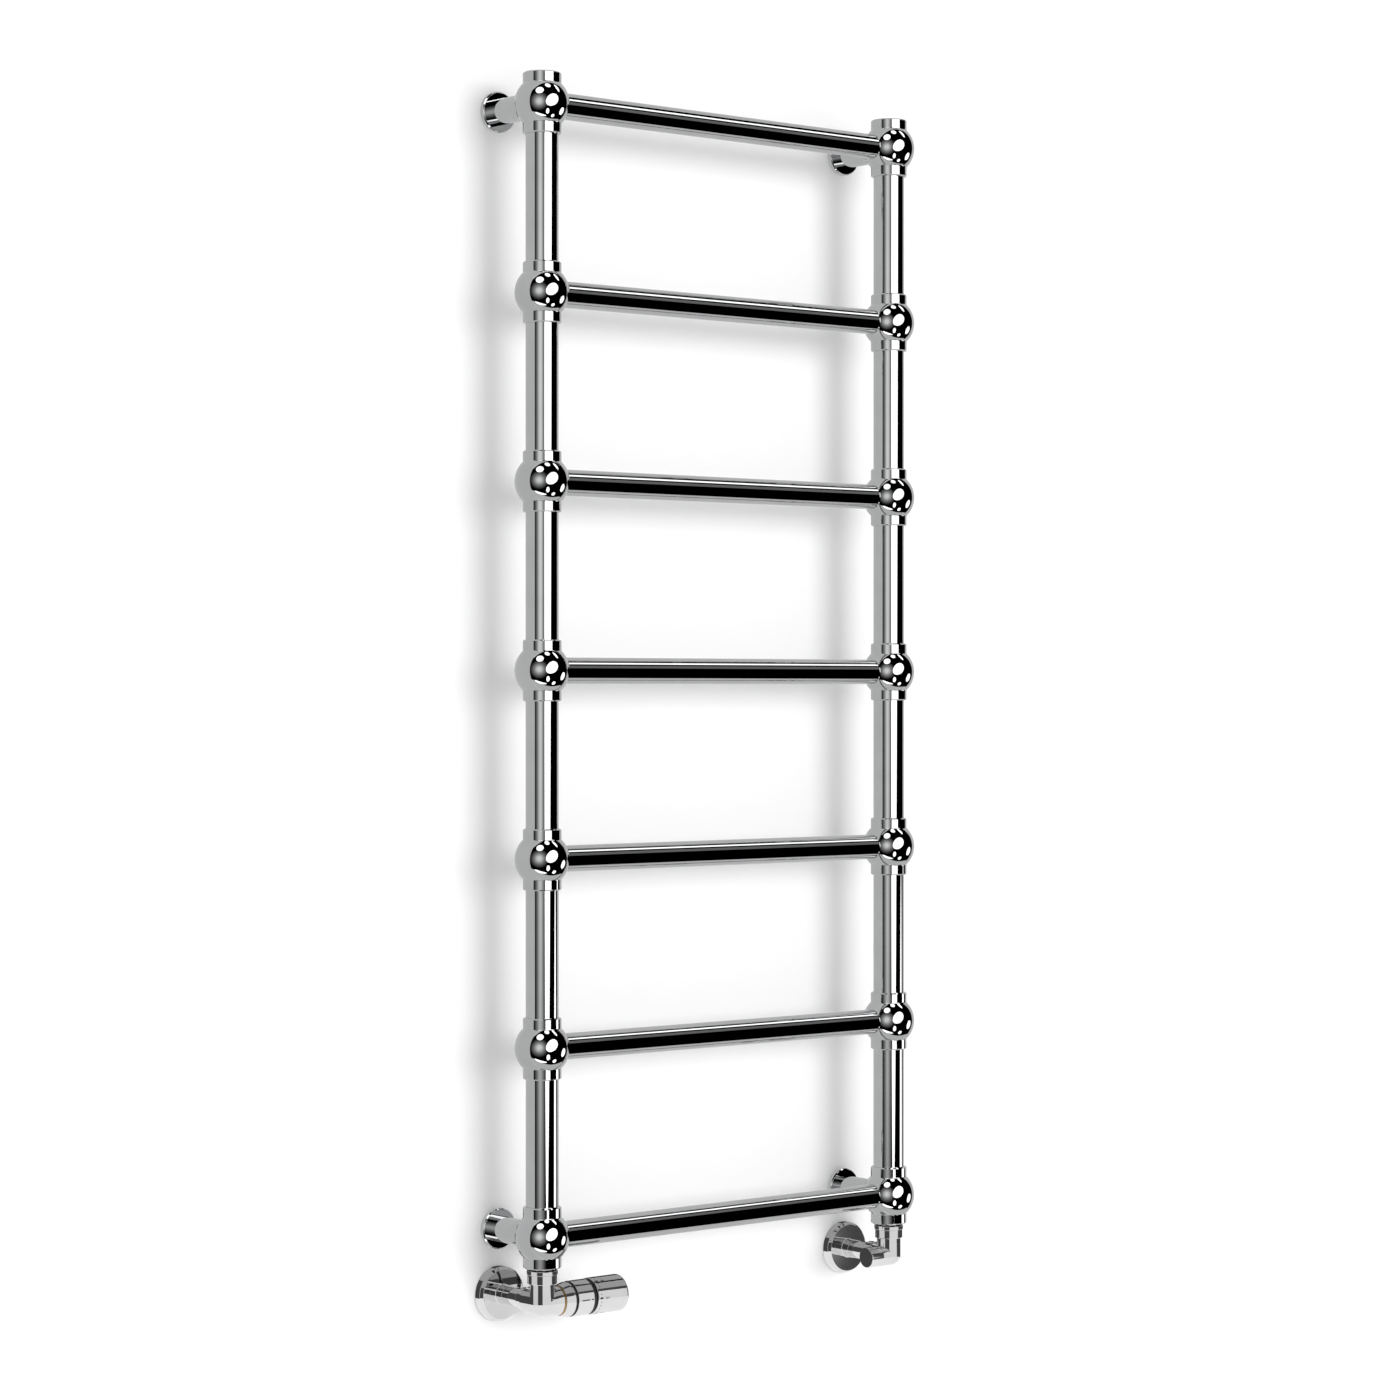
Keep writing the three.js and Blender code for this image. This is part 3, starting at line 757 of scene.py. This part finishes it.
def add_thermostatic_head(centre):
    finish = chrome["valve"]

    def reach(node):
        low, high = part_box(node)
        return low.x - centre.x, high.x - centre.x, (high.z - low.z) / 2

    start, end, rim = reach("trv_insert")
    flange_start, flange_end = INSERT_FLANGE
    corners = [
        (PIN_CLEARANCE, start),
        (INSERT_NECK, start),
        (INSERT_NECK, flange_start),
        (rim, flange_start, 0.25 * MM),
        (rim, flange_end, 0.25 * MM),
        (HEAD_THREAD, flange_end),
        (HEAD_THREAD, end),
        (PIN_CLEARANCE, end),
    ]
    add_turned("trv_insert", corners, centre, "right", brass)

    start, end, rim = reach("trv_locking_ring")
    corners = [
        (RING_BORE, start),
        (rim - RING_CONE, start, EDGE),
        (rim, end - RING_RIM, 0.5 * MM),
        (rim, end, 0.4 * MM),
        (rim - RING_CONE, end, 0.2 * MM),
        (rim - RING_CONE, end - RING_SEAT),
        (RING_BORE, end - RING_SEAT),
    ]
    add_turned("trv_locking_ring", corners, centre, "right", finish)

    ring_end = end
    start, end, rim = reach("trv_head_housing")
    dial_start, dial_end, dial_rim = reach("trv_dial")
    corners = [
        (SENSOR_BORE, start),
        (rim - HOUSING_STEP, start),
        (rim - HOUSING_STEP, ring_end + GAP),
        (rim, ring_end + GAP, 0.2 * MM),
        (rim, dial_start - GAP, 0.2 * MM),
        (DIAL_SPIGOT, dial_start - GAP),
        (DIAL_SPIGOT, end),
        (SENSOR_BORE, end),
    ]
    add_turned("trv_head_housing", corners, centre, "right", black_plastic)

    start, end, rim = reach("trv_pointer_sleeve")
    inner = rim - SLEEVE_WALL
    corners = [(inner, start), (rim, start, 0.4 * MM), (rim, end, 0.4 * MM), (inner, end)]
    add_turned("trv_pointer_sleeve", corners, centre, "right", finish)
    marks = pointer_marks(centre, rim, start, end)
    add_piece("pointer_marks", marks, enamel, "frame")

    cavity = DIAL_SPIGOT + RUNNING_GAP
    corners = [
        (0, dial_end - DIAL_WALL),
        (cavity, dial_end - DIAL_WALL),
        (cavity, dial_start),
        (dial_rim, dial_start, 1 * MM),
        (dial_rim, dial_end, 3 * MM),
        (0, dial_end),
    ]
    made = turned(rounded(corners, 8), centre, "right")
    add_piece("fine_trv_dial", made, finish, "trv_dial", ["trv_dial"])
    add_piece("dial_marks", dial_marks(centre, dial_rim, dial_start), enamel, "trv_dial")


# ---- Lockshield head ----

BONNET_BORE = 3.6 * MM
BONNET_NOSE = 6.4 * MM
BONNET_STEP = 18 * MM
SPINDLE_SHANK = 3 * MM
SPINDLE_PLUG = 6 * MM
SPINDLE_ROUND_END = 5 * MM  # from the spindle's tip back to where its round shank ends
SPINDLE_SQUARE = 4.9 * MM
SPINDLE_CHAMFER = 0.5 * MM
SPINDLE_SIDES = 64
CAP_WALL = 1.8 * MM


def add_lockshield_head(centre):
    def reach(node):
        low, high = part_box(node)
        return centre.x - high.x, centre.x - low.x, (high.z - low.z) / 2

    start, end, rim = reach("lockshield_bonnet")
    corners = [
        (BONNET_BORE, start),
        (rim, start),
        (rim, BONNET_STEP, EDGE),
        (BONNET_NOSE, BONNET_STEP),
        (BONNET_NOSE, end, 0.5 * MM),
        (BONNET_BORE, end, EDGE),
    ]
    add_turned("lockshield_bonnet", corners, centre, "left", brass)

    start, end, rim = reach("lockshield_spindle")
    corners = [
        (0, start),
        (rim, start, EDGE),
        (rim, SPINDLE_PLUG, EDGE),
        (SPINDLE_SHANK, SPINDLE_PLUG),
        (SPINDLE_SHANK, end - SPINDLE_ROUND_END),
        (SPINDLE_SHANK, end - SPINDLE_CHAMFER),
        (SPINDLE_SHANK - SPINDLE_CHAMFER, end),
        (0, end),
    ]
    made = turned(rounded(corners), centre, "left", SPINDLE_SIDES)
    flat = SPINDLE_SHANK / math.sqrt(2)
    square_from = centre.x - end + SPINDLE_SQUARE
    for vertex in made.verts:
        offset = vertex.co - centre
        if vertex.co.x < square_from:
            offset.y = max(-flat, min(flat, offset.y))
            offset.z = max(-flat, min(flat, offset.z))
            vertex.co = centre + offset
    add_piece("fine_lockshield_spindle", made, brass, "lockshield_spindle", ["lockshield_spindle"])

    start, end, rim = reach("lockshield_cap")
    inner = rim - CAP_WALL
    corners = [
        (0, end - CAP_WALL),
        (inner, end - CAP_WALL),
        (inner, start),
        (rim, start, 0.3 * MM),
        (rim, end, 0.8 * MM),
        (0, end),
    ]
    add_turned("lockshield_cap", corners, centre, "left", chrome["valve"], body="lockshield_cap")


add_thermostatic_head(add_valve_base("trv", VALVES["trv"]))
add_lockshield_head(add_valve_base("lockshield", VALVES["lockshield"]))

for node in ("trv_valve_pin", "trv_sensor"):
    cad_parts[node].material_slots[0].material = steel


# ---- Stage: wall, floor and soft studio lights ----

WALL_HALF = 60.0
WALL_BACK = 0.5 * MM
FLOOR_DROP = 0.4
WALL_IN_CHROME = 0.63
SOFTBOX_CORNERS = 64
PATCH_STEP = 6
PATCH_DISTANCE = 20.0
TURNS_TOWARDS = {"up": "right", "right": "up"}
AMBIENT = 0.55


def shown_pieces():
    """Every visible piece of the object, made here or carried over from the CAD."""
    return [piece for piece in bpy.context.scene.objects if piece.type == "MESH" and not piece.hide_render]


def add_plane(name, corners, material):
    mesh = bpy.data.meshes.new(name)
    mesh.from_pydata(corners, [], [tuple(range(len(corners)))])
    mesh.materials.append(material)
    plane = bpy.data.objects.new(name, mesh)
    bpy.context.scene.collection.objects.link(plane)
    return plane


def blank_material(name):
    material = bpy.data.materials.new(name)
    material.use_nodes = True
    material.node_tree.nodes.clear()
    material.cycles.emission_sampling = "NONE"
    nodes, links = material.node_tree.nodes, material.node_tree.links
    return material, nodes, links, nodes.new("ShaderNodeOutputMaterial")


def first_look(nodes, links):
    """A socket that is 1 before a ray's first diffuse bounce and 0 after, so chrome throws no caustics."""
    path = nodes.new("ShaderNodeLightPath")
    test = nodes.new("ShaderNodeMath")
    test.operation = "LESS_THAN"
    links.new(path.outputs["Diffuse Depth"], test.inputs[0])
    test.inputs[1].default_value = 0.5
    return test.outputs["Value"]


def mix(nodes, links, factor, first, second):
    node = nodes.new("ShaderNodeMixShader")
    links.new(factor, node.inputs["Fac"])
    links.new(first, node.inputs[1])
    links.new(second, node.inputs[2])
    return node.outputs["Shader"]


def wall_material():
    """White paint from the front and clear from behind."""
    material, nodes, links, output = blank_material("studio_wall")
    paint = nodes.new("ShaderNodeBsdfDiffuse")
    paint.inputs["Color"].default_value = (0.9, 0.9, 0.9, 1)
    clear = nodes.new("ShaderNodeBsdfTransparent")
    geometry = nodes.new("ShaderNodeNewGeometry")
    both = mix(nodes, links, geometry.outputs["Backfacing"], paint.outputs["BSDF"], clear.outputs["BSDF"])
    links.new(both, output.inputs["Surface"])
    return material


def floor_material():
    """White paint with a little light of its own, so the floor stays pale."""
    material, nodes, links, output = blank_material("studio_floor")
    paint = nodes.new("ShaderNodeBsdfDiffuse")
    paint.inputs["Color"].default_value = (0.85, 0.85, 0.85, 1)
    glow = nodes.new("ShaderNodeEmission")
    glow.inputs["Strength"].default_value = 0.3
    both = nodes.new("ShaderNodeAddShader")
    links.new(paint.outputs["BSDF"], both.inputs[0])
    links.new(glow.outputs["Emission"], both.inputs[1])
    links.new(both.outputs["Shader"], output.inputs["Surface"])
    return material


def add_glow(nodes, links, output, level):
    """A light that lets rays on through it, so that each piece meets only its own lights."""
    glow = nodes.new("ShaderNodeEmission")
    clear = nodes.new("ShaderNodeBsdfTransparent")
    both = nodes.new("ShaderNodeAddShader")
    links.new(level, glow.inputs["Strength"])
    links.new(glow.outputs["Emission"], both.inputs[0])
    links.new(clear.outputs["BSDF"], both.inputs[1])
    links.new(both.outputs["Shader"], output.inputs["Surface"])


def multiplied(nodes, links, first, second):
    """The product of a socket and either another socket or a number."""
    product = nodes.new("ShaderNodeMath")
    product.operation = "MULTIPLY"
    links.new(first, product.inputs[0])
    if isinstance(second, float):
        product.inputs[1].default_value = second
    else:
        links.new(second, product.inputs[1])
    return product.outputs["Value"]


def softbox_material(name, strength):
    """An even light of one strength."""
    material, nodes, links, output = blank_material(name)
    add_glow(nodes, links, output, multiplied(nodes, links, first_look(nodes, links), strength))
    return material


def soft_glow_material(name, strength, falloff):
    """A light that fades from its middle to nothing at its rim."""
    material, nodes, links, output = blank_material(name)
    place = nodes.new("ShaderNodeTexCoord")
    gradient = nodes.new("ShaderNodeTexGradient")
    gradient.gradient_type = "SPHERICAL"
    ramp = nodes.new("ShaderNodeValToRGB")
    stops = ramp.color_ramp.elements
    stops[0].position, stops[0].color = 0, (0, 0, 0, 1)
    stops[1].position, stops[1].color = 1, (1, 1, 1, 1)
    for position, level in falloff:
        stops.new(position).color = (level, level, level, 1)
    links.new(place.outputs["Object"], gradient.inputs["Vector"])
    links.new(gradient.outputs["Fac"], ramp.inputs["Fac"])
    fade = multiplied(nodes, links, ramp.outputs["Color"], first_look(nodes, links))
    add_glow(nodes, links, output, multiplied(nodes, links, fade, strength))
    return material


def only_in_reflections(light, pieces):
    """Shows a light to one collection of chrome pieces and nothing else."""
    light.visible_camera = False
    light.visible_diffuse = False
    light.visible_shadow = False
    light.light_linking.receiver_collection = pieces


def add_softbox(name, azimuth, elevation, half_width, half_height, tilt, distance, material):
    """A soft light seen from the origin: azimuth from straight ahead of the wall towards +X.

    Half sizes are tangents of the angles it spans, and tilt turns it up towards +X.
    """
    azimuth, elevation, tilt = math.radians(azimuth), math.radians(elevation), math.radians(tilt)
    level = math.cos(elevation)
    outward = Vector((math.sin(azimuth) * level, -math.cos(azimuth) * level, math.sin(elevation)))
    across = AXES["up"].cross(outward).normalized()
    up = outward.cross(across)
    wide = across * math.cos(tilt) + up * math.sin(tilt)
    high = outward.cross(wide)
    turns = [math.tau * k / SOFTBOX_CORNERS - math.pi / 2 for k in range(SOFTBOX_CORNERS)]
    box = add_plane(name, [(math.cos(turn), math.sin(turn), 0) for turn in turns], material)
    size = Matrix.Diagonal((half_width * distance, half_height * distance, distance, 1))
    turned_to = Matrix((wide, high, outward)).transposed().to_4x4()
    box.matrix_world = Matrix.Translation(outward * distance) @ turned_to @ size
    only_in_reflections(box, joint_pieces)


def add_card(name, height, half_length, depth, material):
    """A level half-oval card beside the wall, far above or below the object."""
    steps = 48
    turns = [math.pi * k / steps for k in range(steps + 1)]
    rim = [(half_length * math.cos(turn), -depth * math.sin(turn), height) for turn in turns]
    only_in_reflections(add_plane(name, rim, material), frame_pieces)


def add_patch(name, pole, turns, lifts, level):
    """A patch of a big sphere round the valves, as a light of one level in their chrome.

    turns go round the pole and lifts go up towards it, in degrees, from straight ahead of the wall.
    """
    ahead, beside = AXES["room"], AXES[TURNS_TOWARDS[pole]]
    columns = max(2, round((turns[1] - turns[0]) / PATCH_STEP))
    rows = max(2, round((lifts[1] - lifts[0]) / PATCH_STEP))
    made = bmesh.new()
    grid = []
    for row in range(rows + 1):
        lift = math.radians(lifts[0] + (lifts[1] - lifts[0]) * row / rows)
        line = []
        for column in range(columns + 1):
            turn = math.radians(turns[0] + (turns[1] - turns[0]) * column / columns)
            level_way = ahead * math.cos(turn) + beside * math.sin(turn)
            way = level_way * math.cos(lift) + AXES[pole] * math.sin(lift)
            line.append(made.verts.new(way * PATCH_DISTANCE))
        grid.append(line)
    for lower, upper in zip(grid, grid[1:]):
        for column in range(columns):
            made.faces.new([lower[column], lower[column + 1], upper[column + 1], upper[column]])
    mesh = bpy.data.meshes.new(name)
    made.to_mesh(mesh)
    made.free()
    mesh.materials.append(softbox_material(name, level))
    patch = bpy.data.objects.new(name, mesh)
    patch.location = (0, 0, valve_height)
    bpy.context.scene.collection.objects.link(patch)
    only_in_reflections(patch, valve_pieces)


floor_level = cad_bounds[0].z - FLOOR_DROP
valve_height = centre_of("trv_wall_rose").z
valve_pieces = bpy.data.collections.new("valve_pieces")
frame_pieces = bpy.data.collections.new("frame_pieces")
rail_pieces = bpy.data.collections.new("rail_pieces")
joint_pieces = bpy.data.collections.new("joint_pieces")
for made_piece in shown_pieces():
    if any(word in made_piece.name for word in ("trv", "lockshield", "marks")):
        valve_pieces.objects.link(made_piece)
    else:
        frame_pieces.objects.link(made_piece)
        is_rail = made_piece.name.startswith("fine_rail")
        (rail_pieces if is_rail else joint_pieces).objects.link(made_piece)

wall_corners = [
    (-WALL_HALF, WALL_BACK, -WALL_HALF),
    (WALL_HALF, WALL_BACK, -WALL_HALF),
    (WALL_HALF, WALL_BACK, WALL_HALF),
    (-WALL_HALF, WALL_BACK, WALL_HALF),
]
wall = add_plane("studio_wall", wall_corners, wall_material())
wall.visible_glossy = False
floor = add_plane(
    "studio_floor",
    [
        (-WALL_HALF, -WALL_HALF, floor_level),
        (WALL_HALF, -WALL_HALF, floor_level),
        (WALL_HALF, WALL_HALF, floor_level),
        (-WALL_HALF, WALL_HALF, floor_level),
    ],
    floor_material(),
)
floor.visible_glossy = False

LIGHT_DISTANCE = 9.0
bright = softbox_material("softbox_white", 2.2)
pale = softbox_material("card_grey", WALL_IN_CHROME)
only_in_reflections(add_plane("wall_card", wall_corners, pale), frame_pieces)
# name, azimuth, elevation, half width, half height, tilt
SOFTBOXES = (
    ("key_oval", 4.9, 11.8, 0.575, 0.375, 33),
    ("left_high", -51.1, 49.5, 0.245, 0.233, 36),
    ("top_round", 12.5, 69.6, 0.154, 0.146, 54),
    ("right_high", 57.2, 49.7, 0.21, 0.09, 67),
    ("right_low", 63.5, -15.5, 0.21, 0.19, 50),
    ("front_low", -10.4, -34.1, 0.207, 0.115, 100),
    ("front_floor", 30.0, -45.7, 0.127, 0.114, 10),
    ("under_front", -48.0, -51.0, 0.42, 0.075, -24.5),
)
for name, *aim in SOFTBOXES:
    add_softbox(name, *aim, LIGHT_DISTANCE, bright)

GLOW_FALLOFF = ((0.134, 0.02), (0.366, 0.13), (0.566, 0.32), (0.747, 0.69), (0.833, 0.89))
glow_material = soft_glow_material("softbox_fading", 0.94, GLOW_FALLOFF)
add_softbox("left_glow", -50, 5, 0.84, 0.84, 0, LIGHT_DISTANCE + 0.5, glow_material)
add_card("floor_card", -LIGHT_DISTANCE, 13.5, 4.5, pale)
add_card("ceiling_card", LIGHT_DISTANCE, 8.1, 1.1, pale)

# name, level, and each strip's near and far edges as (distance before the rails, height)
RAIL_STRIPS = (
    ("rail_white", 1.9, (0.392, 1.34), (1.054, 1.734)),
    ("rail_grey", 0.17, (1.714, 1.769), (2.73, 1.097)),
)
STRIP_ENDS = (-1.0, 5.0)
rail_line = centre_of("rail_1").y
for name, level, (near, near_height), (far, far_height) in RAIL_STRIPS:
    left_end, right_end = STRIP_ENDS
    corners = [
        (left_end, rail_line - near, near_height),
        (right_end, rail_line - near, near_height),
        (right_end, rail_line - far, far_height),
        (left_end, rail_line - far, far_height),
    ]
    strip = add_plane(name, corners, softbox_material(name, level))
    only_in_reflections(strip, rail_pieces)

# name, pole, turns, lifts, level
VALVE_LIGHTS = (
    ("valve_room", "up", (-180, 180), (-90, 90), 0.065),
    ("valve_key", "up", (-34, 42), (-15, 26), 0.80),
    ("valve_side", "up", (-127, -77), (-15, 20), 0.70),
    ("valve_floor", "up", (-180, 180), (-90, -15), 0.95),
    ("valve_ceiling", "right", (47, 149), (-80, 80), 0.34),
)
for name, *aim in VALVE_LIGHTS:
    add_patch(name, *aim)


def add_wall_light():
    """One broad light from nearly straight ahead, above and to the right, for the wall's shadows."""
    data = bpy.data.lights.new("wall_light", "SUN")
    data.energy = 1.9
    data.angle = math.radians(34)
    light = bpy.data.objects.new("wall_light", data)
    light.rotation_mode = "QUATERNION"
    light.rotation_quaternion = Vector((-0.106, 1, -0.116)).to_track_quat("-Z", "Y")
    light.visible_glossy = False
    light.visible_camera = False
    bpy.context.scene.collection.objects.link(light)


def set_world():
    """White behind everything for the camera, dim all-round light for paint, and dark in the chrome."""
    world = bpy.data.worlds.new("studio")
    world.use_nodes = True
    nodes, links = world.node_tree.nodes, world.node_tree.links
    background = nodes["Background"]
    background.inputs["Color"].default_value = (1, 1, 1, 1)
    path = nodes.new("ShaderNodeLightPath")
    after_paint = nodes.new("ShaderNodeMath")
    after_paint.operation = "GREATER_THAN"
    after_paint.inputs[1].default_value = 0.5
    dim = nodes.new("ShaderNodeMath")
    dim.operation = "MULTIPLY"
    dim.inputs[1].default_value = AMBIENT
    strength = nodes.new("ShaderNodeMath")
    strength.operation = "ADD"
    links.new(path.outputs["Diffuse Depth"], after_paint.inputs[0])
    links.new(after_paint.outputs["Value"], dim.inputs[0])
    links.new(dim.outputs["Value"], strength.inputs[0])
    links.new(path.outputs["Is Camera Ray"], strength.inputs[1])
    links.new(strength.outputs["Value"], background.inputs["Strength"])
    bpy.context.scene.world = world


add_wall_light()
set_world()


# ---- Camera ----

CAMERA_PLACE = Vector((-2.558, -3.104, -0.0185))
CAMERA_TURN = math.radians(39.87)
CAMERA_DIP = math.radians(0.191)
CAMERA_LENS = 92.3

camera_data = bpy.data.cameras.new("camera")
camera_data.lens = CAMERA_LENS
camera_data.sensor_width = 36
camera = bpy.data.objects.new("camera", camera_data)
camera.location = CAMERA_PLACE
camera.rotation_euler = (math.pi / 2 - CAMERA_DIP, 0, -CAMERA_TURN)
bpy.context.scene.collection.objects.link(camera)
bpy.context.scene.camera = camera
bpy.context.scene.view_settings.view_transform = "Standard"
